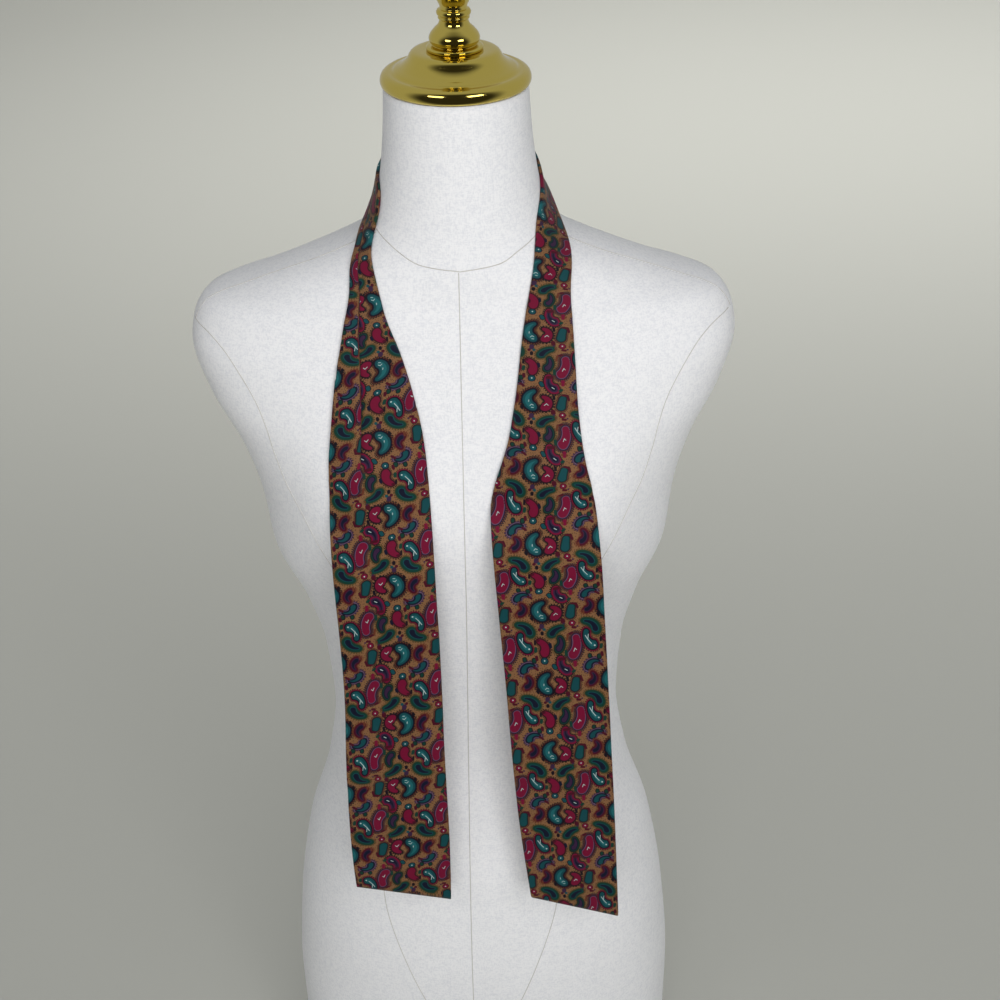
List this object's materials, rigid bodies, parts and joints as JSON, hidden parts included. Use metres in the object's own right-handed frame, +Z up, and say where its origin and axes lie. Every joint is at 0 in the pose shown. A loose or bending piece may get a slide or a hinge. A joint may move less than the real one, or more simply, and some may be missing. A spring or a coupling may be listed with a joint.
{
  "type": "skinny scarf worn on a limbless dress form",
  "caption": "Long narrow printed scarf hung round the neck of a linen-covered, limbless dress form with a turned brass cap, both ends hanging loose down the front.",
  "frame": {"origin": "centre of the dress form's flat bottom, straight below the neck's axis", "axes": "+Z up along the neck's axis, -Y out of the chest, +X towards the viewer's right"},
  "size_m": [0.394, 0.2558, 0.9969],
  "materials": {
    "linen": "stretched off-white linen weave",
    "brass": "polished",
    "printed_cloth": "soft satin twill with a small paisley print on tan"
  },
  "bodies": {
    "root": {"form_torso": "linen", "cap_plate": "brass", "cap_finial": "brass", "scarf_left_end": "printed_cloth", "scarf_neck_wrap": "printed_cloth", "scarf_right_end": "printed_cloth"}
  },
  "joints": []
}
